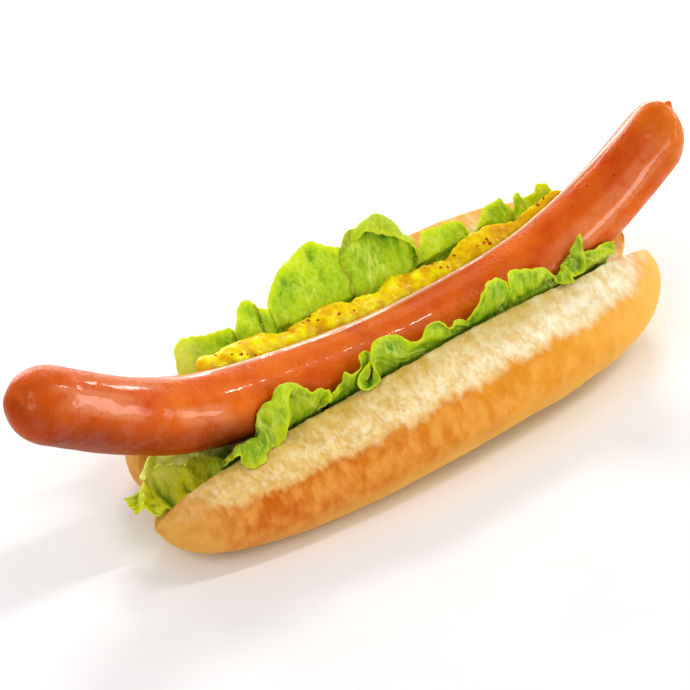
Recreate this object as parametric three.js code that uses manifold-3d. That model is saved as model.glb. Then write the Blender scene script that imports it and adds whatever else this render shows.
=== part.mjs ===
// A hot dog: an opened bread roll that holds one long curved sausage, a bead of mustard
// along the sausage's back, and ruffled lettuce leaves on both sides of it.
// Millimetres. X runs along the roll, Y to its back, Z up. The roll stands on z = 0 and the
// sausage's length lies in the plane y = 0.
import * as THREE from 'three';
import { mergeVertices } from 'three/addons/utils/BufferGeometryUtils.js';
import Module from 'manifold-3d';

// --- Driving dimensions ---------------------------------------------------------------------

const GAP = 0.3; // kept between pieces that lie against each other

// sausage: a round body between two domed ends, from x to x, slimmer towards its right end
const SAUSAGE = { radius: 10.3, from: -95.6, to: 105.6, slimmer: 0.1, slimFrom: 68 };
// its line's height over x: a gentle fall, a bend up at the left, and a rise to the right that
// ends in a small hook
const BOW = { base: 15.75, fall: 0.282 };
const BOW_LEFT = { rise: 0.482, bend: -61.7, ease: 10.5 };
const BOW_RIGHT = { rise: 9.36, ease: 56.2, hook: 1.6, hookFrom: 60, hookTo: 110 };
// left end: casing drawn into a dimple, with small folds round it
const LEFT_END = { dome: 13.6, dimple: 1.7, spread: 3.2, folds: 5, foldDepth: 0.09, foldSpread: 5.5 };
// right end: casing twisted to a nipple, on a dome that leans up
const RIGHT_END = { dome: 11.6, nipple: 1.6, spread: 1.7, lean: 3.9 };
// soft dents in the body: depth, wave along it, and turns round it
const DENTS = [
  { size: 0.22, length: 17, start: 1.3, turns: 1, twist: 0, from: 0.6 },
  { size: 0.16, length: 9.5, start: 0, turns: 2, twist: 1 / 40, from: 0 },
];

// roll: two lobes joined under the sausage, each tapering from its fullest section to its tips
const ROLL_MIDDLE = 12.0; // x of the fullest section
const LOBE_HEART = [18.0, 13.0]; // distance out and height that a section shrinks about
// half of the roll's section, as distance from the middle plane and height
const FRONT_SECTION = [
  [-4.0, 0.0], [8.0, 0.0], [21.0, 0.0], [28.2, 2.6], [32.4, 8.0], [33.6, 14.0], [31.8, 19.6],
  [28.3, 23.4], [26.6, 24.6], [20.0, 27.2], [14.4, 28.8], [12.9, 28.0], [12.6, 24.0],
  [11.0, 17.8], [7.0, 13.2], [1.0, 11.2], [-4.0, 11.0],
];
const BACK_SECTION = [
  [-4.0, 0.0], [8.0, 0.0], [21.0, 0.0], [28.2, 3.0], [32.6, 9.0], [34.0, 16.0], [32.4, 22.4],
  [29.4, 26.6], [27.6, 27.9], [22.4, 28.0], [18.2, 27.3], [16.4, 25.6], [13.6, 21.6],
  [11.0, 17.8], [7.0, 13.2], [1.0, 11.2], [-4.0, 11.0],
];
// a lobe: its side, its section, and on that the cut face's upper edge and the pocket's wall
// below; how its leaves stand, out = out + slope * rise + curve * rise ** 2 above a height; and
// its ends: tip = [x, distance out, height], fullness = (1 - share ** blunt) ** taper, and bow,
// how far out and up the heart strays half way to the tip
const FRONT_LOBE = {
  side: -1,
  section: FRONT_SECTION,
  ridge: [14.4, 28.8],
  wall: [12.6, 24.0],
  stand: { out: 12.0, slope: 0, curve: -0.025, height: 27 },
  left: { tip: [-68.7, 8.6, 9.2], blunt: 2.22, taper: 0.368, bow: [-1.2, -2.2] },
  right: { tip: [101.8, 4.4, 15.4], blunt: 3.7, taper: 0.48, bow: [-1.3, 0] },
};
const BACK_LOBE = {
  side: 1,
  section: BACK_SECTION,
  ridge: [17.0, 26.6],
  wall: [13.6, 22.0],
  stand: { out: 11.4, slope: 0.2, curve: 0.022, height: 21 },
  left: { tip: [-60.6, 10.5, 8.6], blunt: 3.2, taper: 0.36, bow: [-1.0, -2.5] },
  right: { tip: [102.6, 6.0, 15.5], blunt: 3.6, taper: 0.5, bow: [2.5, 0] },
};

// mustard: a lumpy bead on the sausage's upper back, thinner towards both ends
const MUSTARD = { from: -42.0, to: 84.0, halfHeight: 2.75, halfWidth: 4.6 };
const MUSTARD_ANGLE = THREE.MathUtils.degToRad(35); // its place round the sausage, from +Y
const MUSTARD_THIN = { left: 0.55, leftUntil: 0, right: 0.5, rightFrom: 60, rightUntil: 84 };
const MUSTARD_SWELL = { size: 0.14, length: 4.3, start: 1 }; // share that lumps add to its height
const MUSTARD_LUMPS = [{ size: 0.16, length: 2.9, start: 0 }, { size: 0.1, length: 1.7, start: 2 }];
const MUSTARD_WANDER = { size: 0.06, length: 7, start: 0.5 }; // radians round the sausage

// lettuce
const LEAF_THICKNESS = 0.9;
const LEAF_DEPTH = 4.5; // how far a leaf's root lies below the roll's ridge
const LEAF_INSET = 1.2; // from the pocket's wall to the middle of a leaf
const LEAF_CLEARANCE = 1.15; // from the filling to the middle of a leaf
const ROLL_CLEARANCE = 2.1; // from the filling to the roll, with a leaf between them
const RUFFLE = { second: 0.35, quicker: 2.7, slant: 3, sway: 0.6 }; // the waves' second tone
// each leaf that stands in the pocket: its waves along the edge, how far they swing, where they
// start as a share of one, and its free edge as [x, height]
const STANDING_LEAVES = {
  lettuce_front_left: {
    lobe: FRONT_LOBE, waves: 4, swing: 1.5, phase: 0.1,
    edge: [[-47, 27], [-45, 30], [-39, 30.5], [-33, 34.8], [-27, 37.5], [-22, 35.6], [-15, 31],
      [-13, 27]],
  },
  lettuce_front_middle: {
    lobe: FRONT_LOBE, waves: 4, swing: 1.4, phase: 0.45,
    edge: [[-12, 27], [-9, 33.6], [-2, 36], [3, 37.5], [8, 36.7], [12.5, 34.4], [22.5, 35],
      [27, 32.8], [32, 30.5], [33, 28]],
  },
  lettuce_front_right: {
    lobe: FRONT_LOBE, waves: 5, swing: 1.4, phase: 0.2,
    edge: [[34, 28], [38, 34.3], [44.5, 38], [50, 37.7], [59, 35.4], [64, 33.6], [70, 36.2],
      [75.4, 39.4], [78, 35], [82, 34.6], [87, 31]],
  },
  lettuce_back_left: {
    lobe: BACK_LOBE, waves: 4, swing: 1.3, phase: 0.3,
    edge: [[-43, 28], [-41, 34], [-37.5, 38], [-29, 36.4], [-22, 35], [-16.4, 39.8], [-13, 36],
      [-12, 30]],
  },
  lettuce_back_middle: {
    lobe: BACK_LOBE, waves: 4, swing: 1.8, phase: 0.7,
    edge: [[-11, 29], [-8, 37.5], [0, 42], [7, 44.4], [12, 43.9], [16, 42.1], [24, 42.8],
      [32, 43], [36, 41.6], [38.6, 37], [39.5, 30]],
  },
  lettuce_back_right: {
    lobe: BACK_LOBE, waves: 6, swing: 1.3, phase: 0.15,
    edge: [[40.5, 29], [42, 34.6], [48.5, 36.8], [53, 36], [57, 33.4], [62, 33.8], [70, 36.6],
      [73, 34.2], [77.5, 37.4], [82.5, 37], [86, 30]],
  },
};
// the leaf that spills out of the roll's left end, under the sausage: its length over x, each
// long edge as a rounded outline (width, middle and half length over x, squareness), and its
// height, which drops outside the roll and tilts down to the front
const END_LEAF = { from: -40, to: -73, height: 19.3, drop: 2, dropFrom: 52, dropTo: 66 };
const END_LEAF_FRONT = { width: 8.1, middle: -54.5, half: 20, square: 4 };
const END_LEAF_BACK = { width: 8.6, middle: -46, half: 20.5, square: 4 };
const END_LEAF_TIP = { back: 1, from: 62, to: 73 }; // turns the tip's back edge to the back
const END_LEAF_TILT = { slope: 0.22, from: 50, to: 68, lip: 1.2 };
const END_LEAF_RUFFLE = { swing: 1.2, edge: 0.6, tip: 0.8, along: 0.85, across: 2.2 };

// steps along and across each surface
const SAUSAGE_STEPS = [46, 22];
const LOBE_STEPS = [44, 34];
const MUSTARD_STEPS = [46, 10];
const LEAF_STEPS = [24, 5];

const BREAD = { color: 0xe0a35a, roughness: 0.7 };
const CASING = { color: 0xc8592e, roughness: 0.35 };
const SAUCE = { color: 0xf0c010, roughness: 0.4 };
const LETTUCE = { color: 0x9cc83c, roughness: 0.5 };

// --- Shared shape tools ----------------------------------------------------------------------

const { lerp, clamp, smoothstep } = THREE.MathUtils;

function wave({ size, length, start }, x) {
  return size * Math.sin(x / length + start);
}

// one closed, outward-facing surface with shared vertices
function closed(geometry) {
  geometry.deleteAttribute('normal');
  geometry.deleteAttribute('uv');
  const merged = mergeVertices(geometry, 1e-4);
  const at = merged.attributes.position;
  const index = merged.index.array;
  const corner = [0, 1, 2].map(() => new THREE.Vector3());
  const kept = [];
  let volume = 0;
  for (let i = 0; i < index.length; i += 3) {
    const [a, b, c] = index.slice(i, i + 3);
    if (a === b || b === c || a === c) continue;
    kept.push(a, b, c);
    [a, b, c].forEach((k, j) => corner[j].fromBufferAttribute(at, k));
    volume += corner[0].dot(corner[1].cross(corner[2])) / 6;
  }
  if (volume < 0) kept.reverse();
  merged.setIndex(kept);
  merged.computeVertexNormals();
  return merged;
}

// a skin from pole to pole: place(along, around) gives a point, along 0..1 and around in radians
function skin([alongSteps, aroundSteps], place) {
  const geometry = new THREE.SphereGeometry(1, aroundSteps, alongSteps);
  const { position, uv } = geometry.attributes;
  for (let i = 0; i < position.count; i++) {
    const p = place(1 - uv.getY(i), uv.getX(i) * 2 * Math.PI);
    position.setXYZ(i, p.x, p.y, p.z);
  }
  return closed(geometry);
}

// a thin leaf: one grid for both faces, pushed apart along the surface's own direction
function sheet([alongSteps, outSteps], thickness, middle) {
  const top = new THREE.PlaneGeometry(1, 1, alongSteps, outSteps);
  const { position, uv } = top.attributes;
  const count = position.count;
  const points = [];
  const step = 1e-3;
  for (const side of [0.5, -0.5]) {
    for (let i = 0; i < count; i++) {
      const u = uv.getX(i);
      const v = uv.getY(i);
      const p = middle(u, v);
      const du = middle(u + step, v).sub(middle(u - step, v));
      const dv = middle(u, v + step).sub(middle(u, v - step));
      const out = du.cross(dv).normalize().multiplyScalar(thickness * side);
      points.push(...p.add(out).toArray());
    }
  }
  const face = Array.from(top.index.array);
  const index = [...face];
  for (let i = 0; i < face.length; i += 3) {
    index.push(face[i] + count, face[i + 2] + count, face[i + 1] + count);
  }
  const row = alongSteps + 1;
  const rim = [];
  for (let i = 0; i < alongSteps; i++) rim.push(i);
  for (let j = 0; j < outSteps; j++) rim.push(j * row + alongSteps);
  for (let i = alongSteps; i > 0; i--) rim.push(outSteps * row + i);
  for (let j = outSteps; j > 0; j--) rim.push(j * row);
  rim.forEach((a, k) => {
    const b = rim[(k + 1) % rim.length];
    index.push(a, b, b + count, a, b + count, a + count);
  });
  const geometry = new THREE.BufferGeometry();
  geometry.setAttribute('position', new THREE.Float32BufferAttribute(points, 3));
  geometry.setIndex(index);
  return closed(geometry);
}

// --- Sausage ----------------------------------------------------------------------------------

// height of the sausage's centre line over x
function sausageHeight(x) {
  const bend = (BOW_LEFT.bend - x) / BOW_LEFT.ease;
  const left = BOW_LEFT.rise * BOW_LEFT.ease * Math.log1p(Math.exp(bend));
  const hook = BOW_RIGHT.hook * smoothstep(x, BOW_RIGHT.hookFrom, BOW_RIGHT.hookTo);
  const right = BOW_RIGHT.rise * Math.exp(x / BOW_RIGHT.ease) + hook;
  return BOW.base - BOW.fall * x + left + right;
}

// the centre line's place and its two directions at x: along it, and square to it upward
function sausageFrame(x) {
  const step = 0.1;
  const slope = (sausageHeight(x + step) - sausageHeight(x - step)) / (2 * step);
  const along = new THREE.Vector3(1, 0, slope).normalize();
  const up = new THREE.Vector3(-along.z, 0, along.x);
  return { centre: new THREE.Vector3(x, 0, sausageHeight(x)), along, up };
}

function sausageRadius(x) {
  return SAUSAGE.radius * (1 - SAUSAGE.slimmer * smoothstep(x, SAUSAGE.slimFrom, SAUSAGE.to));
}

function sausageDent(x, around) {
  const depths = DENTS.map((dent) => (
    wave(dent, x) * Math.cos(dent.turns * around + dent.twist * x - dent.from)
  ));
  return depths.reduce((sum, depth) => sum + depth);
}

const DOME_SHARE = 0.12; // part of the steps along that each dome takes

// how strongly a feature round a pole still shows at a distance from it
function fade(distance, spread) {
  return Math.exp(-((distance / spread) ** 2));
}

function sausagePoint(along, around) {
  const bodyShare = (along - DOME_SHARE) / (1 - 2 * DOME_SHARE);
  const x = lerp(SAUSAGE.from, SAUSAGE.to, clamp(bodyShare, 0, 1));
  const full = sausageRadius(x);
  const tilt = Math.min(1, along / DOME_SHARE, (1 - along) / DOME_SHARE) * (Math.PI / 2);
  let radius = full * Math.sin(tilt);
  let reach = 0;
  let lift = 0;
  if (bodyShare < 0) {
    reach = -LEFT_END.dome * Math.cos(tilt) + LEFT_END.dimple * fade(radius, LEFT_END.spread);
    const fold = LEFT_END.foldDepth * Math.cos(LEFT_END.folds * around);
    radius *= 1 - fold * fade(radius, LEFT_END.foldSpread);
  }
  if (bodyShare > 1) {
    reach = RIGHT_END.dome * Math.cos(tilt) + RIGHT_END.nipple * fade(radius, RIGHT_END.spread);
    lift = RIGHT_END.lean * (reach / RIGHT_END.dome) ** 2;
  }
  const out = radius + sausageDent(x, around) * (radius / full);
  const frame = sausageFrame(x);
  return frame.centre
    .addScaledVector(frame.along, reach)
    .addScaledVector(frame.up, lift + out * Math.sin(around))
    .add(new THREE.Vector3(0, out * Math.cos(around), 0));
}

// --- Mustard ----------------------------------------------------------------------------------

// share of its full thickness that the bead has at x
function mustardFullness(x) {
  const left = lerp(MUSTARD_THIN.left, 1, smoothstep(x, MUSTARD.from, MUSTARD_THIN.leftUntil));
  const fall = smoothstep(x, MUSTARD_THIN.rightFrom, MUSTARD_THIN.rightUntil);
  return left * lerp(1, MUSTARD_THIN.right, fall);
}

const MUSTARD_END_SQUARENESS = 8; // how late the bead closes to its tips

function mustardPoint(along, around) {
  const x = lerp(MUSTARD.from, MUSTARD.to, along);
  const end = Math.sqrt(Math.max(0, 1 - (2 * along - 1) ** MUSTARD_END_SQUARENESS));
  const swell = mustardFullness(x) * (1 + wave(MUSTARD_SWELL, x));
  const lumps = MUSTARD_LUMPS.reduce((sum, lump) => sum + wave(lump, x), 1);
  const height = MUSTARD.halfHeight * swell * end;
  const width = MUSTARD.halfWidth * mustardFullness(x) * lumps * end;
  const place = MUSTARD_ANGLE + wave(MUSTARD_WANDER, x);
  const frame = sausageFrame(x);
  const outward = frame.up.clone().multiplyScalar(Math.sin(place))
    .add(new THREE.Vector3(0, Math.cos(place), 0));
  const across = frame.up.clone().multiplyScalar(Math.cos(place))
    .add(new THREE.Vector3(0, -Math.sin(place), 0));
  const surface = sausageRadius(x) + sausageDent(x, place);
  const rest = surface + GAP + MUSTARD.halfHeight * swell;
  return frame.centre
    .addScaledVector(outward, rest + height * Math.sin(around))
    .addScaledVector(across, width * Math.cos(around));
}

// --- Room round the filling -------------------------------------------------------------------

const MUSTARD_DEPTH = 2 * MUSTARD.halfHeight * (1 + MUSTARD_SWELL.size) + GAP;
// radians round the sausage from the mustard's middle: where its depth starts to fall, and ends
const MUSTARD_SPREAD = [0.24, 0.82];
// how far past the mustard's ends its room fades out, and how far inside them it is full
const MUSTARD_FADE = [4, 1];

// moves a point straight out from the sausage's line, until it is a margin clear of the
// sausage, and of the mustard where there is some
function clearOfFilling(p, margin) {
  const frame = sausageFrame(p.x);
  const away = p.clone().sub(frame.centre);
  away.addScaledVector(frame.along, -away.dot(frame.along));
  const turn = Math.abs(Math.atan2(away.dot(frame.up), away.y) - MUSTARD_ANGLE);
  const beside = 1 - smoothstep(turn, ...MUSTARD_SPREAD);
  const [past, inside] = MUSTARD_FADE;
  const within = smoothstep(p.x, MUSTARD.from - past, MUSTARD.from + inside)
    * (1 - smoothstep(p.x, MUSTARD.to - inside, MUSTARD.to + past));
  const mustard = MUSTARD_DEPTH * mustardFullness(p.x) * beside * within;
  const least = sausageRadius(p.x) + margin + mustard;
  const far = away.length();
  if (far < least) p.addScaledVector(away, least / far - 1);
  return p;
}

// --- Roll -------------------------------------------------------------------------------------

const SECTION_TENSION = 0.4;
const TIP_CROWDING = 0.85; // how strongly the steps along crowd towards the tips

// where a section's point, as [distance out, height], lies on a lobe at x
function onLobe(lobe, x, [sectionOut, sectionUp]) {
  const end = x < ROLL_MIDDLE ? lobe.left : lobe.right;
  const share = Math.min(1, (x - ROLL_MIDDLE) / (end.tip[0] - ROLL_MIDDLE));
  const full = (1 - share ** end.blunt) ** end.taper;
  const stray = 4 * share * (1 - share);
  const heartOut = lerp(end.tip[1], LOBE_HEART[0], full) + end.bow[0] * stray;
  const heartUp = lerp(end.tip[2], LOBE_HEART[1], full) + end.bow[1] * stray;
  return {
    out: heartOut + full * (sectionOut - LOBE_HEART[0]),
    up: Math.max(0, heartUp + full * (sectionUp - LOBE_HEART[1])),
  };
}

// a lobe's skin, pressed clear of the filling
function lobeSkin(lobe) {
  const corners = lobe.section.map(([out, up]) => new THREE.Vector3(out, up, 0));
  const section = new THREE.CatmullRomCurve3(corners, true, 'catmullrom', SECTION_TENSION);
  return skin(LOBE_STEPS, (along, around) => {
    const even = lerp(along, (1 - Math.cos(along * Math.PI)) / 2, TIP_CROWDING);
    const x = lerp(lobe.left.tip[0], lobe.right.tip[0], even);
    const corner = section.getPoint(around / (2 * Math.PI));
    const { out, up } = onLobe(lobe, x, [corner.x, corner.y]);
    return clearOfFilling(new THREE.Vector3(x, lobe.side * out, up), ROLL_CLEARANCE);
  });
}

// both lobes as one body
async function joinedLobes() {
  const wasm = await Module();
  wasm.setup();
  const [front, back] = [FRONT_LOBE, BACK_LOBE].map(lobeSkin).map((geometry) => (
    new wasm.Manifold(new wasm.Mesh({
      numProp: 3,
      vertProperties: new Float32Array(geometry.attributes.position.array),
      triVerts: new Uint32Array(geometry.index.array),
    }))
  ));
  const mesh = front.add(back).getMesh();
  const geometry = new THREE.BufferGeometry();
  geometry.setAttribute('position', new THREE.BufferAttribute(mesh.vertProperties, 3));
  geometry.setIndex(new THREE.BufferAttribute(mesh.triVerts, 1));
  geometry.computeVertexNormals();
  return geometry;
}

// --- Lettuce ----------------------------------------------------------------------------------

// height of a leaf's free edge at x, eased from one listed point to the next
function edgeHeight(edge, x) {
  const next = edge.findIndex(([at]) => at > x);
  if (next < 1) return edge[next < 0 ? edge.length - 1 : 0][1];
  const [[x0, z0], [x1, z1]] = [edge[next - 1], edge[next]];
  return lerp(z0, z1, smoothstep(x, x0, x1));
}

// how far from the middle plane a leaf stands at a height
function standOut({ out, slope, curve, height }, up) {
  const rise = up - height;
  return out + slope * rise + curve * rise ** 2;
}

const LEAF_EASE = [-1, 3]; // heights from the ridge between which a leaf leaves the wall

// a leaf that grows out of the pocket on one side and ruffles towards its free edge
function standingLeaf({ lobe, edge, waves, swing, phase }) {
  const from = edge[0][0];
  const to = edge[edge.length - 1][0];
  return (u, v) => {
    const x = lerp(from, to, u);
    const ridge = onLobe(lobe, x, lobe.ridge);
    const wall = onLobe(lobe, x, lobe.wall);
    const up = lerp(ridge.up - LEAF_DEPTH, edgeHeight(edge, x), v);
    const free = smoothstep(up, ridge.up + LEAF_EASE[0], ridge.up + LEAF_EASE[1]);
    const out = lerp(wall.out - LEAF_INSET, standOut(lobe.stand, up), free);
    const turn = 2 * Math.PI * (waves * u + phase);
    const second = RUFFLE.second * Math.sin(RUFFLE.quicker * turn + RUFFLE.slant * v);
    const push = swing * v * v * (Math.sin(turn) + second);
    const sway = RUFFLE.sway * swing * v * Math.cos(turn) * Math.sin(Math.PI * u);
    const step = 0.5;
    const tilt = Math.atan2(standOut(lobe.stand, up + step) - standOut(lobe.stand, up), step);
    const point = new THREE.Vector3(
      x + sway,
      lobe.side * (out - push * Math.cos(tilt)),
      up + push * Math.sin(tilt),
    );
    return clearOfFilling(point, LEAF_CLEARANCE);
  };
}

// distance from the middle plane of a long edge of the end leaf
function outlineWidth({ width, middle, half, square }, x) {
  return width * Math.sqrt(Math.max(0, 1 - Math.abs((x - middle) / half) ** square));
}

function endLeaf(u, v) {
  const x = lerp(END_LEAF.from, END_LEAF.to, u);
  const tip = END_LEAF_TIP.back * smoothstep(-x, END_LEAF_TIP.from, END_LEAF_TIP.to);
  const y = lerp(-outlineWidth(END_LEAF_FRONT, x), outlineWidth(END_LEAF_BACK, x) + tip, v);
  const outside = smoothstep(-x, END_LEAF_TILT.from, END_LEAF_TILT.to);
  const drop = END_LEAF.drop * smoothstep(-x, END_LEAF.dropFrom, END_LEAF.dropTo);
  const nearEdge = (2 * v - 1) ** 2;
  const loose = END_LEAF_RUFFLE.edge * nearEdge + END_LEAF_RUFFLE.tip * smoothstep(u, 0.6, 1);
  const turn = END_LEAF_RUFFLE.along * x + END_LEAF_RUFFLE.across * v;
  const ruffle = END_LEAF_RUFFLE.swing * loose * Math.sin(turn);
  const lip = END_LEAF_TILT.lip * nearEdge * (1 - outside);
  const tilt = END_LEAF_TILT.slope * y * outside;
  return new THREE.Vector3(x, y, END_LEAF.height - drop + tilt + ruffle + lip);
}

// --- Assembly ---------------------------------------------------------------------------------

const hotDog = new THREE.Group();

function piece(name, geometry, finish) {
  const mesh = new THREE.Mesh(geometry, new THREE.MeshStandardMaterial({ ...finish, metalness: 0 }));
  mesh.name = name;
  hotDog.add(mesh);
}

piece('bun', await joinedLobes(), BREAD);
piece('sausage', skin(SAUSAGE_STEPS, sausagePoint), CASING);
piece('mustard', skin(MUSTARD_STEPS, mustardPoint), SAUCE);
piece('lettuce_left_end', sheet(LEAF_STEPS, LEAF_THICKNESS, endLeaf), LETTUCE);
for (const [name, plan] of Object.entries(STANDING_LEAVES)) {
  piece(name, sheet(LEAF_STEPS, LEAF_THICKNESS, standingLeaf(plan)), LETTUCE);
}

export default hotDog;
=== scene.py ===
"""The looks of a hot dog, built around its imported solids.  Sizes are in millimetres and become
metres where a mesh is made.  X runs along the roll, Y to its back, Z up."""

import math
from functools import partial, reduce
from types import SimpleNamespace as Sizes

import bpy
import numpy as np
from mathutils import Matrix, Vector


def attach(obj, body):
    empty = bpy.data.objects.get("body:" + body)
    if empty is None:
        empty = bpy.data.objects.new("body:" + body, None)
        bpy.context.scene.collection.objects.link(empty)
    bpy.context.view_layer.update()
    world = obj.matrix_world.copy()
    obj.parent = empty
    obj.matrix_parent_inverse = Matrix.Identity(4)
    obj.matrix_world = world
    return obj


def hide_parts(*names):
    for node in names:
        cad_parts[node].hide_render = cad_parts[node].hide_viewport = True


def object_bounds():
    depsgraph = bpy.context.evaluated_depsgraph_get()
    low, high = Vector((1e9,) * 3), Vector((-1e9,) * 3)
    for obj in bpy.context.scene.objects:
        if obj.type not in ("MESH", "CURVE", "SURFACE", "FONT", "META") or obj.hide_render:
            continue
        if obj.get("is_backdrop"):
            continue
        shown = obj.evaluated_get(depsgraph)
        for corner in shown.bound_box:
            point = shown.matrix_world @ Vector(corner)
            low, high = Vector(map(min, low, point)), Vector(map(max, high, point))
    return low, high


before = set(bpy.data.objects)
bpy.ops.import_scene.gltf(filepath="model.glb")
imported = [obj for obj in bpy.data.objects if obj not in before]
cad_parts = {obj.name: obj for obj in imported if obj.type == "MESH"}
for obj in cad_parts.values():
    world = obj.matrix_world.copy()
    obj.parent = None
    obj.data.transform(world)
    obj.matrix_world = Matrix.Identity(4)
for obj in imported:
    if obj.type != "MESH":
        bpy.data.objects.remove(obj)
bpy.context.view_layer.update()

# --- The roll ---
# A soft wheat roll, baked golden, cut open along its top.  Its two lobes stay joined along the
# underside; a thin brown crust covers the outside, and torn pale crumb the cut faces.

MM = 0.001
scene = bpy.context.scene

# the line that the filling lies on: a gentle fall, a bend up at the left, a rise to the right
LINE = Sizes(base=15.75, fall=0.282)
LINE_LEFT = Sizes(rise=0.482, bend=-61.7, ease=10.5)
LINE_RIGHT = Sizes(rise=9.36, ease=56.2, hook=1.6, hook_from=60, hook_to=110)
SAUSAGE = Sizes(radius=10.3, start=-95.6, end=105.6, slimmer=0.1, slim_from=68)
MUSTARD = Sizes(start=-42, end=84, half_height=2.75, half_width=4.6, swell=0.14)
MUSTARD_ANGLE = math.radians(35)
MUSTARD_THIN = Sizes(left=0.85, left_until=0, right=0.52, right_from=60, right_until=84)


def ease(value, start, end):
    share = np.clip((value - start) / (end - start), 0, 1)
    return share * share * (3 - 2 * share)


def span(value, start, full, fading, end):
    """A share that eases up from start, is 1 from full to fading, and eases down to the end."""
    return ease(value, start, full) * (1 - ease(value, fading, end))


def between(first, second, share):
    return first + (second - first) * share


def line_height(x):
    bend = (LINE_LEFT.bend - x) / LINE_LEFT.ease
    left = LINE_LEFT.rise * LINE_LEFT.ease * np.log1p(np.exp(bend))
    hook = LINE_RIGHT.hook * ease(x, LINE_RIGHT.hook_from, LINE_RIGHT.hook_to)
    right = LINE_RIGHT.rise * np.exp(x / LINE_RIGHT.ease) + hook
    return LINE.base - LINE.fall * x + left + right


SLOPE_STEP = 0.1


def line_frame(x):
    """The line's place at x, the direction along it, and the one square to it upward."""
    x = np.asarray(x, float)
    slope = (line_height(x + SLOPE_STEP) - line_height(x - SLOPE_STEP)) / (2 * SLOPE_STEP)
    size = np.hypot(1, slope)
    flat = np.zeros_like(x)
    centre = np.stack([x, flat, line_height(x)], -1)
    along = np.stack([1 / size, flat, slope / size], -1)
    up = np.stack([-slope / size, flat, 1 / size], -1)
    return centre, along, up


def round_line(x, out, angle, ahead=0, lift=0):
    """Points round the line: so far out at an angle, so far ahead along it, and lifted."""
    centre, along, up = line_frame(x)
    sideways = np.array([0, 1, 0])
    return centre + along * np.asarray(ahead)[..., None] \
        + up * (lift + out * np.sin(angle))[..., None] + sideways * (out * np.cos(angle))[..., None]


def sausage_radius(x):
    slim = SAUSAGE.slimmer * ease(x, SAUSAGE.slim_from, SAUSAGE.end)
    return SAUSAGE.radius * (1 - slim)


def mustard_fullness(x):
    left = between(MUSTARD_THIN.left, 1, ease(x, MUSTARD.start, MUSTARD_THIN.left_until))
    fall = ease(x, MUSTARD_THIN.right_from, MUSTARD_THIN.right_until)
    return left * between(1, MUSTARD_THIN.right, fall)


def clear_of_filling(points, margin):
    """Pushes points straight out from the filling's line until they are a margin clear of it."""
    x = points[..., 0]
    centre, along, up = line_frame(x)
    away = points - centre
    away = away - along * np.sum(away * along, -1, keepdims=True)
    turn = np.abs(np.arctan2(np.sum(away * up, -1), away[..., 1]) - MUSTARD_ANGLE)
    within = span(x, MUSTARD.start - 4, MUSTARD.start + 1, MUSTARD.end - 1, MUSTARD.end + 4)
    depth = 2 * MUSTARD.half_height * (1 + MUSTARD.swell)
    room = depth * mustard_fullness(x) * (1 - ease(turn, 0.24, 0.82)) * within
    least = sausage_radius(x) + margin + room
    far = np.linalg.norm(away, axis=-1)
    push = np.maximum(least / np.maximum(far, 1e-6) - 1, 0)
    return points + away * push[..., None]


def outward(points, faces):
    """The faces, all turned round if the closed surface that they make is inside out."""
    fans = [(f[0], f[i], f[i + 1]) for f in faces for i in range(1, len(f) - 1)]
    a, b, c = (points[np.array(fans)[:, k]] for k in range(3))
    if np.sum(a * np.cross(b, c)) < 0:
        return [tuple(reversed(f)) for f in faces]
    return faces


def link(name, data):
    thing = bpy.data.objects.new(name, data)
    scene.collection.objects.link(thing)
    return thing


def new_piece(name, points, faces):
    mesh = bpy.data.meshes.new(name)
    mesh.from_pydata((points * MM).tolist(), [], outward(points, faces))
    mesh.shade_smooth()
    return link(name, mesh)


def skin(name, place, rings, angles):
    """A closed skin from pole to pole.  place(along, angle) gives the points, along being 0 to 1."""
    along = np.linspace(0, 1, rings + 2)[:, None]
    around = len(angles)
    grid = place(*np.broadcast_arrays(along, angles[None, :]))
    points = np.vstack([grid[1:-1].reshape(-1, 3), grid[0].mean(0), grid[-1].mean(0)])
    here = np.arange(rings * around).reshape(rings, around)
    after = np.roll(here, -1, axis=1)
    faces = np.stack([here[:-1], after[:-1], after[1:], here[1:]], -1).reshape(-1, 4).tolist()
    first, last = rings * around, rings * around + 1
    for k in range(around):
        faces += [(first, after[0, k], here[0, k]), (last, here[-1, k], after[-1, k])]
    return new_piece(name, points, faces)


def full_turn(count):
    return np.linspace(0, 2 * np.pi, count, endpoint=False)


def per_point(piece, what):
    """Three numbers for each point of a piece: its place in metres, or its normal."""
    found = np.zeros(len(piece.data.vertices) * 3)
    piece.data.vertices.foreach_get(what, found)
    return found.reshape(-1, 3)


def store(piece, **shares):
    """Keeps one number for each point of a piece, for its material and its relief, by name."""
    for name, values in shares.items():
        kept = piece.data.attributes.new(name, "FLOAT", "POINT")
        kept.data.foreach_set("value", np.asarray(values, np.float32))


def feed(node, inputs):
    """Gives a node its inputs: plain values, or other nodes' outputs."""
    for key, value in inputs.items():
        if isinstance(value, bpy.types.NodeSocket):
            node.id_data.links.new(value, node.inputs[key])
        else:
            node.inputs[key].default_value = value
    return node


def add_node(tree, kind, inputs=None, **settings):
    node = tree.nodes.new(kind)
    for key, value in settings.items():
        setattr(node, key, value)
    return feed(node, inputs or {})


def reckon(operation, first, second, **settings):
    """One step of arithmetic on two numbers, at least one of them a node's output."""
    tree = next(v.id_data for v in (first, second) if isinstance(v, bpy.types.NodeSocket))
    return add_node(tree, "ShaderNodeMath", {0: first, 1: second}, operation=operation, **settings).outputs[0]


def times(*values):
    return reduce(partial(reckon, "MULTIPLY"), values)


plus, less = partial(reckon, "ADD"), partial(reckon, "SUBTRACT")


def largest(*values):
    return reduce(partial(reckon, "MAXIMUM"), values)


def vectors(operation, *values, **named):
    """One step of arithmetic on vectors, the first of them a node's output."""
    inputs = {**dict(enumerate(values)), **named}
    return add_node(values[0].id_data, "ShaderNodeVectorMath", inputs, operation=operation).outputs[0]


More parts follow.
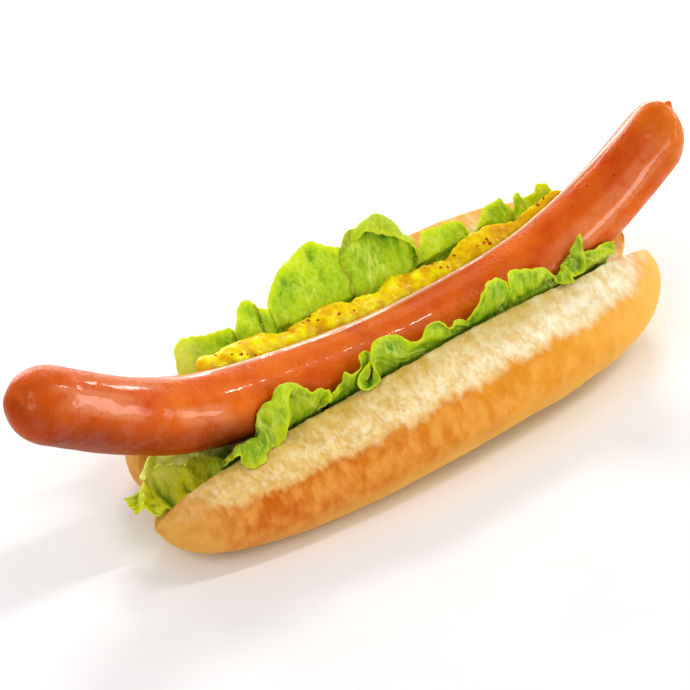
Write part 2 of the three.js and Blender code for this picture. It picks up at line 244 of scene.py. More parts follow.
def split(vector):
    return add_node(vector.id_data, "ShaderNodeSeparateXYZ", {0: vector}).outputs


SOCKETS = {float: "Float", int: "Int", str: "String", tuple: "Vector"}


def new_group(kind, name, **inputs):
    """An empty node group: its tree, its inputs by name, and the one socket that it gives."""
    tree = bpy.data.node_groups.new(name, kind + "NodeTree")
    for label, default in inputs.items():
        socket = "NodeSocket" + SOCKETS.get(type(default), label)
        made = tree.interface.new_socket(label, in_out="INPUT", socket_type=socket)
        if default is not None:
            made.default_value = default
    label, socket = ("Mask", "Float") if kind == "Shader" else ("Geometry", "Geometry")
    tree.interface.new_socket(label, in_out="OUTPUT", socket_type="NodeSocket" + socket)
    return tree, tree.nodes.new("NodeGroupInput").outputs, tree.nodes.new("NodeGroupOutput").inputs[0]


def swing(at, scale, given):
    """Noise about 0, at places moved about by a slow noise and drawn out along the axes."""
    slow = add_node(at.id_data, "ShaderNodeTexNoise", {"Vector": at, "Scale": times(scale, 0.35)})
    sway = vectors("SUBTRACT", slow.outputs["Color"], (0.5, 0.5, 0.5))
    moved = vectors("ADD", at, vectors("SCALE", sway, Scale=given["Warp"]))
    inputs = {"Vector": vectors("DIVIDE", moved, given["Stretch"]), "W": given["Seed"],
              "Scale": scale, "Detail": given["Detail"]}
    noise = add_node(at.id_data, "ShaderNodeTexNoise", inputs, noise_dimensions="4D")
    return less(noise.outputs[0], 0.5)


def finish_tree(tree, last, given, result):
    """Ends geometry nodes in plain mesh with its material."""
    real = add_node(tree, "GeometryNodeRealizeInstances", {"Geometry": last.outputs[0]})
    inputs = {"Geometry": real.outputs[0], "Material": given["Material"]}
    dressed = add_node(tree, "GeometryNodeSetMaterial", inputs)
    tree.links.new(dressed.outputs[0], result)


def relief_tree():
    """Geometry nodes that raise and lower a surface by soft noise where an attribute says so."""
    tree, given, result = new_group(
        "Geometry", "Surface relief", Geometry=None, Where="", Size=0.005, Stretch=(1.0, 1.0, 1.0),
        Warp=0.0, Height=0.0002, Detail=2.0, Seed=0.0, Material=None)
    at = add_node(tree, "GeometryNodeInputPosition").outputs[0]
    wave = swing(at, reckon("DIVIDE", 1, given["Size"]), given)
    where = add_node(tree, "GeometryNodeInputNamedAttribute", {"Name": given["Where"]}, data_type="FLOAT")
    lift = times(wave, 2, given["Height"], where.outputs[0])
    offset = vectors("SCALE", add_node(tree, "GeometryNodeInputNormal").outputs[0], Scale=lift)
    moved = add_node(tree, "GeometryNodeSetPosition", {"Geometry": given["Geometry"], "Offset": offset})
    finish_tree(tree, moved, given, result)
    return tree


def geometry_step(piece, tree, **values):
    """Adds a geometry-nodes modifier and sets its inputs by their sockets' identifiers."""
    step = piece.modifiers.new(tree.name, "NODES")
    step.node_group = tree
    for item in tree.interface.items_tree:
        if item.in_out == "INPUT" and item.name in values:
            step[item.identifier] = values[item.name]


def apply_steps(piece):
    """Turns a piece with its modifiers into a plain mesh."""
    graph = bpy.context.evaluated_depsgraph_get()
    mesh = bpy.data.meshes.new_from_object(piece.evaluated_get(graph), depsgraph=graph)
    piece.modifiers.clear()
    piece.data = mesh
    mesh.name = piece.name
    mesh.shade_smooth()


def raise_relief(piece, material, *waves):
    """Soft noise on a piece, wave by wave: where, size, stretch, warp, height, detail and seed."""
    for where, size, stretch, warp, height, detail, seed in waves:
        geometry_step(
            piece, RELIEF, Where=where, Size=size * MM, Stretch=stretch, Warp=warp * MM,
            Height=height * MM, Detail=detail, Seed=seed, Material=material)
    apply_steps(piece)


def paint(code):
    """A colour as the shader wants it, from its six hexadecimal digits."""
    shares = [int(code[k:k + 2], 16) / 255 for k in (1, 3, 5)]
    return tuple(s / 12.92 if s <= 0.04045 else ((s + 0.055) / 1.055) ** 2.4 for s in shares) + (1.0,)


def new_material(name):
    """A material, its nodes, its shader, and the place on the object for its textures."""
    material = bpy.data.materials.new(name)
    material.use_nodes = True
    tree = material.node_tree
    at = add_node(tree, "ShaderNodeTexCoord").outputs["Object"]
    return material, tree, tree.nodes["Principled BSDF"], at


def tint(share, first, second):
    """A colour between two, each a hexadecimal code or another colour's socket."""
    first, second = (paint(c) if isinstance(c, str) else c for c in (first, second))
    node = add_node(share.id_data, "ShaderNodeMix", {0: share, 6: first, 7: second}, data_type="RGBA")
    return node.outputs[2]


def washes(colour, *layers):
    """A colour with others laid over it in turn, each by its own share."""
    for share, over in layers:
        colour = tint(share, colour, over)
    return colour


def ramp(value, low, high, start=0, end=1):
    """A value's place between two limits, eased, from start to end."""
    inputs = {"Value": value, "From Min": low, "From Max": high, "To Min": start, "To Max": end}
    return add_node(value.id_data, "ShaderNodeMapRange", inputs, interpolation_type="SMOOTHSTEP").outputs[0]


def mottle_group():
    """Soft patches: a mask that swings between 0 and 1 over a size."""
    tree, given, result = new_group(
        "Shader", "Mottle", Vector=None, Stretch=(1.0, 1.0, 1.0), Warp=0.0, Scale=100.0, Detail=2.0,
        Contrast=1.0, Seed=0.0)
    wave = times(swing(given["Vector"], given["Scale"], given), given["Contrast"], 2.2)
    tree.links.new(reckon("ADD", wave, 0.5, use_clamp=True), result)
    return tree


def speckle_group():
    """Small round dots at random places: a mask of how much of a dot there is."""
    tree, given, result = new_group("Shader", "Speckle", Vector=None, Scale=300.0, Radius=0.2, Share=0.4)
    cells = add_node(tree, "ShaderNodeTexVoronoi", {"Vector": given["Vector"], "Scale": given["Scale"]})
    drawn = add_node(tree, "ShaderNodeSeparateColor", {0: cells.outputs["Color"]})
    kept = reckon("LESS_THAN", drawn.outputs[0], given["Share"])
    reach = times(given["Radius"], plus(drawn.outputs[1], 0.5))
    near = reckon("DIVIDE", cells.outputs["Distance"], reach)
    dot = reckon("SUBTRACT", 1.0, reckon("POWER", near, 3.0), use_clamp=True)
    tree.links.new(times(kept, dot), result)
    return tree


MOTTLE = mottle_group()
SPECKLE = speckle_group()
RELIEF = relief_tree()


def mottle(at, size, stretch=(1, 1, 1), warp=0, detail=2, contrast=1, seed=0):
    inputs = {"Vector": at, "Stretch": stretch, "Warp": warp * MM, "Scale": 1 / (size * MM),
              "Detail": detail, "Contrast": contrast, "Seed": seed}
    return add_node(at.id_data, "ShaderNodeGroup", inputs, node_tree=MOTTLE).outputs[0]


def speckle(at, size, radius, share):
    inputs = {"Vector": at, "Scale": 1 / (size * MM), "Radius": radius, "Share": share}
    return add_node(at.id_data, "ShaderNodeGroup", inputs, node_tree=SPECKLE).outputs[0]


def attribute(tree, name):
    return add_node(tree, "ShaderNodeAttribute", attribute_name=name).outputs["Fac"]


def bump(height, distance, strength):
    inputs = {"Height": height, "Distance": distance * MM, "Strength": strength}
    return add_node(height.id_data, "ShaderNodeBump", inputs).outputs[0]


ROLL_MIDDLE = 12
LOBE_HEART = (18, 13)
SECTION_TENSION = 0.4
TIP_CROWDING = 0.85
ROLL_CLEARANCE = 2.1
# A lobe's section goes from its flat underside round to the pocket, out from the middle and up.
# At each end it has a tip (along, out, up), a bow on the way there, and how bluntly it closes.
UNDERSIDE = [(-4, 0), (8, 0), (21, 0)]
POCKET = [(11, 17.8), (7, 13.2), (1, 11.2), (-4, 11)]
FRONT_LOBE = Sizes(
    side=-1, ridge=(14.4, 28.8), wall=(12.6, 24), rim=(28, 23.6), blur=1,
    section=UNDERSIDE + [
        (28.2, 2.6), (32.4, 8), (33.6, 14), (31.8, 19.6), (28.3, 23.4), (26.6, 24.6),
        (20, 27.2), (14.4, 28.8), (12.9, 28), (12.6, 24)] + POCKET,
    stand=Sizes(out=12, slope=0, curve=-0.025, height=27),
    left=Sizes(tip=(-68.7, 8.6, 9.2), bow=(-1.2, -2.2), blunt=2.22, taper=0.368),
    right=Sizes(tip=(101.8, 4.4, 15.4), bow=(-1.3, 0), blunt=3.7, taper=0.48))
BACK_LOBE = Sizes(
    side=1, ridge=(17, 26.6), wall=(13.6, 22), rim=(22.4, 28), blur=3,
    section=UNDERSIDE + [
        (28.2, 3), (32.6, 9), (34, 16), (32.4, 22.4), (29.4, 26.6), (27.6, 27.9),
        (22.4, 28), (18.2, 27.3), (16.4, 25.6), (13.6, 21.6)] + POCKET,
    stand=Sizes(out=11.4, slope=0.2, curve=0.022, height=21),
    left=Sizes(tip=(-60.6, 10.5, 8.6), bow=(-1, -2.5), blunt=3.2, taper=0.36),
    right=Sizes(tip=(102.6, 6, 15.5), bow=(2.5, 0), blunt=3.6, taper=0.5))


def spline(corners, t, tension):
    """Points between the middle two of four corners, on a smooth curve through all of them."""
    before, here, after, beyond = corners
    leave, arrive = tension * (after - before), tension * (beyond - here)
    cubic = 2 * here - 2 * after + leave + arrive
    square = -3 * here + 3 * after - 2 * leave - arrive
    return ((cubic * t + square) * t + leave) * t + here


def closed_curve(corners, share):
    """Points on a smooth closed curve through the corners, at shares 0 to 1 of its way round."""
    corners = np.array(corners)
    place = share * len(corners)
    start = np.floor(place).astype(int)
    near = [corners[(start + k) % len(corners)] for k in (-1, 0, 1, 2)]
    return spline(near, (place - start)[..., None], SECTION_TENSION)


def lobe_heart(lobe, x):
    """How full a lobe is at x, and the distance out and height of its heart."""
    left, right = ((*end.tip, *end.bow, end.blunt, end.taper) for end in (lobe.left, lobe.right))
    picked = (np.where(np.asarray(x) < ROLL_MIDDLE, a, b) for a, b in zip(left, right))
    tip_x, tip_out, tip_up, bow_out, bow_up, blunt, taper = picked
    share = np.clip((x - ROLL_MIDDLE) / (tip_x - ROLL_MIDDLE), 0, 1)
    full = (1.0 - share ** blunt) ** taper
    stray = 4 * share * (1 - share)
    out, up = (between(tip, heart, full) for tip, heart in zip((tip_out, tip_up), LOBE_HEART))
    return full, out + bow_out * stray, up + bow_up * stray


def on_lobe(lobe, x, section_out, section_up):
    full, heart_out, heart_up = lobe_heart(lobe, x)
    out = heart_out + full * (section_out - LOBE_HEART[0])
    up = heart_up + full * (section_up - LOBE_HEART[1])
    return out, np.maximum(up, 0)


def lobe_points(lobe, along, angle):
    even = between(along, (1 - np.cos(along * np.pi)) / 2, TIP_CROWDING)
    x = between(lobe.left.tip[0], lobe.right.tip[0], even)
    corner = closed_curve(lobe.section, angle / (2 * np.pi))
    out, up = on_lobe(lobe, x, corner[..., 0], corner[..., 1])
    return clear_of_filling(np.stack([x, lobe.side * out, up], -1), ROLL_CLEARANCE)


LOBE_RINGS = 320
FINE_STEP = 0.45
COARSE_STEP = 1.5


def crowded_angles(section):
    """Angles round a lobe that lie close together on its crust and its cut face."""
    share = np.linspace(0, 1, 3001)
    corner = closed_curve(section, share)
    length = np.linalg.norm(np.diff(corner, axis=0), axis=1)
    shown = (corner[1:, 1] > 1.5) & (corner[1:, 0] > 11.8)
    count = np.cumsum(length / np.where(shown, FINE_STEP, COARSE_STEP))
    wanted = np.arange(0, count[-1] - 0.5)
    return 2 * np.pi * np.interp(wanted, count, share[1:])


def new_lobe(name, lobe):
    return skin(name, partial(lobe_points, lobe), LOBE_RINGS, crowded_angles(lobe.section))


roll, back_lobe = new_lobe("roll", FRONT_LOBE), new_lobe("back_lobe", BACK_LOBE)
join = roll.modifiers.new("join", "BOOLEAN")
join.operation = "UNION"
join.solver = "MANIFOLD"
join.object = back_lobe
apply_steps(roll)
bpy.data.objects.remove(back_lobe)

# where the crumb lies: millimetres past the crust's edge, less than nothing on the crust
UNDERSIDE_ANGLE = math.radians(-165)
x, y, z = (per_point(roll, "co") / MM).T
cut = np.zeros(len(x))
soft = np.ones(len(x))
for lobe in (FRONT_LOBE, BACK_LOBE):
    full, heart_out, heart_up = lobe_heart(lobe, x)
    this_lobe = lobe.side * y > 0
    angle = np.arctan2(z - heart_up, lobe.side * y - heart_out)
    angle = np.where(angle < UNDERSIDE_ANGLE, angle + 2 * np.pi, angle)
    rim_out, rim_up = lobe.rim[0] - LOBE_HEART[0], lobe.rim[1] - LOBE_HEART[1]
    past = (angle - math.atan2(rim_up, rim_out)) * math.hypot(rim_out, rim_up) * np.maximum(full, 0.35)
    for end, wrap, reach in ((lobe.left, 7, 17), (lobe.right, 9, 22)):
        from_tip = np.abs(end.tip[0] - x)
        near_tip = 1 - ease(from_tip, 1, reach)
        past = past - wrap * near_tip
        past = between(past, np.minimum(past, -5), 1 - ease(from_tip, 0.5, 4.5))
        soft = np.maximum(soft, np.where(this_lobe, lobe.blur + 5 * near_tip, 1))
    cut = np.where(this_lobe, past, cut)
cut = cut + 0.55 * np.sin(x / 3.1 + 0.7 * np.sin(x / 7)) + 0.25 * np.sin(x / 1.3 + 2)
store(
    roll, cut=cut, edge=cut / soft,
    crumb=ease(cut / soft, -0.8, 1) * (1 - ease(np.abs(cut), 24, 30)),
    crust=(1 - ease(cut / soft, -1.6, 0.2)) * ease(z, 0.5, 3))

bread, tree, shader, at = new_material("bread")
x, y, _ = split(at)
past_rim = attribute(tree, "cut")
patches = mottle(at, 9, warp=5, detail=4, contrast=1.2, seed=1)
fibres = mottle(at, 1.5, (0.8, 1.15, 1.15), warp=3, detail=4, contrast=1.5, seed=2)
torn = mottle(at, 2.8, (0.7, 1.3, 1.3), warp=2, detail=4, contrast=1.5, seed=3)
lumps = mottle(at, 3.6, (0.8, 1.2, 1.2), warp=3, detail=4, contrast=1.8, seed=4)
mottle_and_highlight_drops = mottle(at, 3.8, (0.8, 1.3, 1.3), warp=3.5, detail=3, contrast=2, seed=5)
fine = mottle(at, 1.9, (0.8, 1.2, 1.2), warp=2, detail=3, contrast=1.2, seed=6)
is_crumb = ramp(plus(attribute(tree, "edge"), times(less(torn, 0.5), 1.8)), -1.5, 1.5)
# the crust is darker towards the left end; low on the front it is paler, its own pale side lightened further
# by painted fill light
right = ramp(x, -0.060, 0.085)
band = times(ramp(past_rim, 0, -2), ramp(past_rim, -18, -9, 0.1, 1))
low = times(ramp(past_rim, -8, -22, 0, 0.9), ramp(y, 0.010, -0.010, 0.3, 1))
end = times(ramp(x, 0.045, 0.100, 0, 0.65), ramp(y, 0.010, -0.010, 0.5, 1))
crust = washes(
    tint(right, "#cc6a00", "#f6b436"),
    (times(patches, 0.35), "#be5a00"),
    (times(fine, 0.22), "#eda23c"),
    # pale drops below the rim: partly the crust's own mottling, partly painted highlights on its bumps
    (times(mottle_and_highlight_drops, band, 0.52), "#f9bc64"),
    # painted fill light low on the front of the crust
    (low, "#efc468"),
    (end, "#fac868"),
    (ramp(x, -0.044, -0.068, 0, 0.65), "#e6b85c"),
)
# near the ridge, beside the lettuce, the crumb turns olive: partly toasted, partly painted shade and painted
# green reflection from the lettuce
toast_and_lettuce_shade = times(ramp(past_rim, 5, 14), plus(patches, 0.3), ramp(x, 0.090, 0.060),
              ramp(past_rim, 22, 16, 0.2, 1))
crumb = washes(
    tint(lumps, tint(right, "#e8c070", "#f2d8a4"), tint(right, "#fcde94", "#fff6dc")),
    # painted shade in the crumb's pores and painted highlights on its fibres
    (ramp(fibres, 0.4, 0, 0, 0.25), tint(right, "#b87c28", "#dcb478")),
    (ramp(fibres, 0.4, 1, 0, 0.5), "#fff4dc"),
    (ramp(right, 0.3, 0, 0, 0.35), "#f0cc8c"),
    (ramp(past_rim, 3.5, 0, 0, 0.45), "#eeb65e"),
    # olive near the ridge: some toasting, with painted shade and green reflection from the lettuce
    (times(toast_and_lettuce_shade, 0.65), "#d0aa1c"),
)
relief = plus(times(fibres, 0.45), times(lumps, 0.55))
feed(shader, {
    "Base Color": tint(is_crumb, crust, crumb),
    "Roughness": ramp(is_crumb, 0, 1, 0.46, 0.9),
    "Specular IOR Level": 0.15, "Subsurface Weight": 0.08,
    "Subsurface Radius": (1.0, 0.6, 0.3), "Subsurface Scale": 0.002,
    "Normal": bump(plus(times(relief, is_crumb), times(fine, 0.12)), 0.5, 0.7),
})
raise_relief(
    roll, bread,
    ("crumb", 4.5, (0.9, 1.1, 1.1), 2.0, 0.7, 2.0, 11.0),
    ("crumb", 2.0, (0.8, 1.2, 1.2), 2.0, 0.28, 3.0, 12.0),
    ("crust", 13.0, (1.0, 1.0, 1.0), 0.0, 0.55, 1.0, 13.0),
    ("crust", 5.0, (0.7, 1.2, 1.2), 3.0, 0.22, 2.0, 14.0),
)
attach(roll, "root")
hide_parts("bun")

# --- The lettuce ---
# Loose leaves of a curly green lettuce, tucked into the pocket on both sides of the sausage.
# Each is a thin wet sheet with a ruffled free edge, raised ribs and a net of pale veins.

# how deep a leaf's foot sits and how far inside the wall, how clear it stays of the filling, how
# thick it is and how much thinner at its rim, and where its bend lies
LEAF = Sizes(depth=4.5, inset=1.2, clearance=0.8, thickness=0.5, thinning=0.45, bend=0.45,
             steps=14, rows=44)

# Each leaf by points along its free edge: distance along the roll, out from the middle and up.
# Two numbers, along and up, put it on the leaf's usual stand; six give the bend below it first.
LEAVES = {
    "lettuce_front_left": (FRONT_LOBE, 0.15, [
        (-49, 11.6, 25, -48, 11.4, 23), (-46.6, 11.6, 28.3, -47.2, 13.2, 26.5),
        (-44.5, 11.5, 29, -45.1, 13.6, 26), (-43, 11.6, 28.4, -45, 14.3, 23.3),
        (-41, 11.7, 28.2, -43.2, 16.3, 22.9), (-39, 11.8, 28.3, -39.2, 16.8, 23.3),
        (-37.7, 11.8, 28.7, -37.3, 14.8, 23.8), (-37.3, 11.8, 30, -35.1, 14.2, 24.4),
        (-37.6, 11.3, 32.2, -31.4, 14.3, 25), (-37.2, 10.8, 34.7, -30.5, 14.4, 29),
        (-35.2, 10.3, 36, -29, 13.8, 32.8), (-32.6, 10.1, 36.4, -28.6, 12.4, 35.5),
        (-30.3, 9.6, 37.8, -26.8, 11.3, 37), (-27.2, 9.6, 38, -24, 10.8, 37),
        (-24.4, 10.8, 33.3, -22.7, 10.9, 36.7), (-22, 11.2, 31, -21, 12.1, 35.2),
        (-19.4, 11, 29.8, -18.3, 12.2, 34.6), (-17.7, 10.9, 29.2, -15.3, 12.7, 33),
        (-17, 10.9, 29.2, -15, 13.9, 30.8), (-17.3, 10.8, 29.7, -15.8, 12.4, 27.4),
        (-16.5, 11, 29, -18.4, 12.2, 27.2)]),
    "lettuce_front_middle": (FRONT_LOBE, 0.06, [
        (-14, 12.2, 31), (-11.5, 11.7, 31.4), (-9.6, 11.5, 31.7), (-8.8, 10.9, 34.4),
        (-6.6, 11.9, 30.7, -6.9, 11.9, 33.7), (-4.9, 11.4, 32, -3.9, 11.5, 34.3),
        (-2, 10.8, 33.5, -3.2, 10.2, 36.5), (-0.5, 10.6, 34, -0.6, 9.9, 36.7),
        (-2.1, 11.7, 31.4, -0.3, 11.7, 35.7), (-3.2, 12.3, 29.2, -5.5, 13.1, 33),
        (-2.1, 12.6, 28, -6.6, 14.5, 30.4), (-0.7, 12.6, 28, -3.3, 15.1, 28.2),
        (0.3, 12.1, 30.4, 1.4, 13.6, 28.8), (1.8, 11.5, 32.7, -1.1, 12.7, 34.3),
        (4.3, 11.4, 32.8, 0.3, 10.4, 38), (6.8, 11.6, 32, 4.1, 9.6, 38.6),
        (9.8, 11.7, 31.5, 9.5, 9.9, 37.1), (13, 12, 30.8, 13.2, 11.2, 34),
        (16.4, 11.5, 33.6), (19.7, 10.8, 35.6), (23.5, 10.7, 35.3), (26.2, 12, 32.7),
        (28.5, 11.5, 33.6), (31, 11.7, 32.4), (32.7, 12.2, 30.8)]),
    "lettuce_front_right": (FRONT_LOBE, 0.12, [
        (32.5, 12, 31.6), (36, 11.4, 34), (39.1, 11.4, 32.2, 38.2, 10.8, 37.2),
        (41.3, 11.3, 32.4, 40.5, 9.8, 39), (43.4, 11.2, 32.7, 44.3, 9.5, 38.8),
        (45.3, 11.3, 32.4, 46.7, 10.3, 37), (46.6, 11.4, 32.6, 47.3, 11.8, 35.2),
        (48.2, 11.1, 33.2, 48, 9.8, 38.6), (50.4, 11.3, 32.5, 51.4, 9.6, 38.3),
        (53.8, 11.3, 32.2, 56, 10, 36.4), (57, 11.3, 32.2, 60.4, 10.6, 35),
        (60, 11.6, 32, 62, 12.4, 32.5), (62, 11.8, 32, 64, 13, 29.2),
        (63.5, 11.8, 32, 67.7, 14, 28.7), (65.4, 11.6, 32, 67.4, 14.2, 31.2),
        (66.5, 11, 33.8, 73.7, 12, 28.4), (68.7, 10.4, 35, 73, 11.8, 34.5),
        (70.5, 10.2, 35.4, 73.6, 9.4, 39.6), (72.6, 11.5, 32.4, 73.4, 11.3, 35),
        (77, 11.5, 33.6), (81.2, 11.3, 33.7), (84, 11.6, 32.8)]),
    "lettuce_back_left": (BACK_LOBE, 0.12, [
        (-42.6, 34), (-41, 37.2), (-39, 38.8), (-36.6, 38.8), (-31.3, 37.8), (-26.7, 37.2),
        (-23.3, 36.7), (-22.9, 35.3), (-22, 35.8), (-20, 38.2), (-17.2, 40), (-15, 40.2),
        (-14, 39.2), (-13.6, 38), (-10.7, 36.8), (-8.8, 35.7), (-6, 33)]),
    "lettuce_back_middle": (BACK_LOBE, 0.12, [
        (-10.4, 37.8), (-7.4, 39.8), (-3, 42.2), (2, 43.4), (8, 44.6), (10.4, 44.3),
        (13.4, 42.8), (16.4, 41.6), (15.6, 21.6, 38.5, 17.8, 23.7, 40.5),
        (18, 24.3, 41, 19.2, 23.3, 41), (20.7, 26, 42.7, 21, 23.8, 42),
        (24.2, 25.8, 42.5, 23, 23.3, 42), (28.7, 26.3, 43, 25.8, 23.5, 43),
        (32.2, 26.5, 43, 28, 22, 42.2), (34.5, 24.6, 41.4, 31, 20.6, 41),
        (36, 22.4, 39.3, 34.2, 19, 39), (37.5, 20.3, 37, 36.6, 17.8, 36.5),
        (38.6, 18.7, 35.2, 37.6, 16.5, 33.7), (37.4, 16.7, 32.6, 37, 15.5, 31)]),
    "lettuce_back_right": (BACK_LOBE, 0.15, [
        (37.4, 31), (39.3, 34), (41.5, 36.5), (44.2, 37), (47.3, 36.6), (50.3, 36.5),
        (53.8, 35.7), (55.7, 34.4), (56.1, 31.5), (56.6, 30.4), (58.4, 32.6), (60.8, 34.5),
        (63.7, 35.8), (66.8, 36), (69, 36.2), (69.6, 34.8), (70.8, 33.4), (70.4, 31.7),
        (72, 33), (73, 35), (74.7, 35.5), (75.8, 34), (78.8, 33.9), (80.9, 35.2), (83, 35),
        (84.9, 33.4), (85.4, 31)]),
}
END_LEAF = Sizes(start=-40, end=-73, height=19.3, drop=2, drop_from=52, drop_to=66,
                 width=16, half_width=8.6, square=4, steps=150, rows=90)
# the middle and half length of its front and back outlines
END_LEAF_FRONT, END_LEAF_BACK = (-54.5, 20), (-46, 20.5)
# the crest that winds across the end leaf, and the roll in it near its tip
END_CREST = [(-66, 5), (-61.4, 2.8), (-57, 1), (-55.5, -2), (-53, -0.7), (-49.6, -0.7), (-46.3, -4),
             (-45, -8), (-40, -11)]
CREST_RISE, CREST_FALL = 1.3, 3.5
END_ROLL = Sizes(at=-66.3, slant=0.87, rise=1.9, width=1.5)


def fade(distance, spread):
    return np.exp(-(distance / spread) ** 2)


WAVES = 9
RIB_SPACING = 22


def random_waves(place, size, seed):
    """Soft random bumps, about -1 to 1, over one or two directions given in millimetres."""
    draw = np.random.default_rng(seed)
    total = np.zeros(np.broadcast(*place).shape)
    for _ in range(WAVES):
        angle = draw.uniform(0, 2 * np.pi)
        length = size * draw.uniform(0.7, 1.5)
        heading = np.cos(angle), np.sin(angle)
        reach = sum(h * p for h, p in zip(heading, place))
        total = total + np.sin(reach * 2 * np.pi / length + draw.uniform(0, 2 * np.pi))
    return total * math.sqrt(2 / WAVES) * 0.6


def stepped(points, x):
    """A value that eases from one listed point to the next."""
    stations, values = np.array(points, float).T
    after = np.clip(np.searchsorted(stations, x, side="right"), 1, len(points) - 1)
    share = ease(x, stations[after - 1], stations[after])
    return between(values[after - 1], values[after], share)


def open_curve(rows, place):
    """A smooth curve through rows of numbers, at places counted in rows."""
    rows = np.asarray(rows, float)
    last = len(rows) - 1
    start = np.clip(np.floor(place).astype(int), 0, last - 1)
    near = [rows[np.clip(start + k, 0, last)] for k in (-1, 0, 1, 2)]
    return spline(near, (place - start)[..., None], 0.5)


def stand_out(stand, up):
    rise = np.maximum(up - stand.height, 0)
    return stand.out + stand.slope * rise + stand.curve * rise ** 2


def full_point(lobe, point):
    """A leaf's point as six numbers: the bend under its free edge, then the edge."""
    if len(point) == 6:
        return point
    x, up = point[0], point[-1]
    out = point[1] if len(point) == 3 else stand_out(lobe.stand, up)
    _, ridge = on_lobe(lobe, x, *lobe.ridge)
    bend = between(float(ridge) + 1, up, LEAF.bend)
    return (x, stand_out(lobe.stand, bend), bend, x, out, up)


def ribs_of(seed, length, height, trunks):
    """A leaf's ribs as line pieces over its own length and height: trunks with side ribs."""
    draw = np.random.default_rng(seed)
    lines = []
    for trunk in range(trunks):
        foot = length * (trunk + 0.5 + draw.uniform(-0.2, 0.2)) / trunks
        lean = draw.uniform(-0.25, 0.25)
        at, side = np.array([foot, -1]), 1
        for step in range(9):
            lean += draw.uniform(-0.12, 0.12)
            new = at + np.array([lean, 1]) * height / 8
            lines.append((at, new, 0.5 * (1 - 0.06 * step)))
            reach, turn = height * draw.uniform(0.3, 0.5), draw.uniform(0.55, 0.95)
            start, heading = new, np.array([side * np.sin(turn), np.cos(turn)])
            for part in range(3):
                end = start + heading * reach / 3
                lines.append((start, end, 0.3 * (1 - 0.22 * part)))
                heading = heading + np.array([side * draw.uniform(-0.25, 0.15), 0.12])
                start = end
            at, side = new, -side
    return lines


def rib_mask(lines, across, upward):
    """How much of a rib there is at each place of a leaf, 0 to 1."""
    mask = np.zeros(across.shape)
    for start, end, width in lines:
        run = end - start
        over, above = across - start[0], upward - start[1]
        share = np.clip((over * run[0] + above * run[1]) / (run @ run), 0, 1)
        far = np.hypot(over - share * run[0], above - share * run[1])
        mask = np.maximum(mask, min(1, width * 2.8) * fade(far, width))
    return mask


def facing_of(middle):
    facing = np.cross(np.gradient(middle, axis=0), np.gradient(middle, axis=1))
    return facing / np.maximum(np.linalg.norm(facing, axis=-1, keepdims=True), 1e-9)


def softened(grid, rounds):
    """A grid of points with its creases evened out, more so with more rounds."""
    for _ in range(rounds):
        for axis in (0, 1):
            grid = np.moveaxis(grid, axis, 0)
            padded = np.concatenate([grid[:1], grid, grid[-1:]])
            grid = np.moveaxis((padded[:-2] + 2 * grid + padded[2:]) / 4, 0, axis)
    return grid


def leaf_piece(name, middle, across, upward, ribs, rim):
    """A thin leaf from its middle surface: both faces, a rim between them, and its attributes."""
    facing = facing_of(middle)
    thick = LEAF.thickness * (1 - LEAF.thinning * rim) + 0.35 * ribs
    half = facing * thick[..., None] / 2
    points = np.stack([middle + half, middle - half]).reshape(-1, 3)
    place = np.arange(rim.size).reshape(rim.shape)
    corners = np.stack([place[:-1, :-1], place[1:, :-1], place[1:, 1:], place[:-1, 1:]], -1).reshape(-1, 4)
    faces = np.stack([corners, corners[:, ::-1] + rim.size], 1).reshape(-1, 4).tolist()
    border = np.concatenate([place[:, 0], place[-1, 1:], place[-2::-1, -1], place[0, -2:0:-1]])
    for a, b in zip(border, np.roll(border, -1)):
        faces.append((b, a, a + rim.size, b + rim.size))
    piece = new_piece(name, points, faces)
    hollow = np.sum((softened(middle, 90) - middle) * facing, -1).ravel()
    store(piece, rib=np.tile(ribs.ravel(), 2), rim=np.tile(rim.ravel(), 2),
          hollow=np.concatenate([hollow, -hollow]))
    own = np.stack([across.ravel(), upward.ravel()], -1) / 10
    corners = np.zeros(len(piece.data.loops), int)
    piece.data.loops.foreach_get("vertex_index", corners)
    layer = piece.data.uv_layers.new(name="leaf")
    layer.uv.foreach_set("vector", np.tile(own, (2, 1))[corners].astype(np.float32).ravel())
    return piece


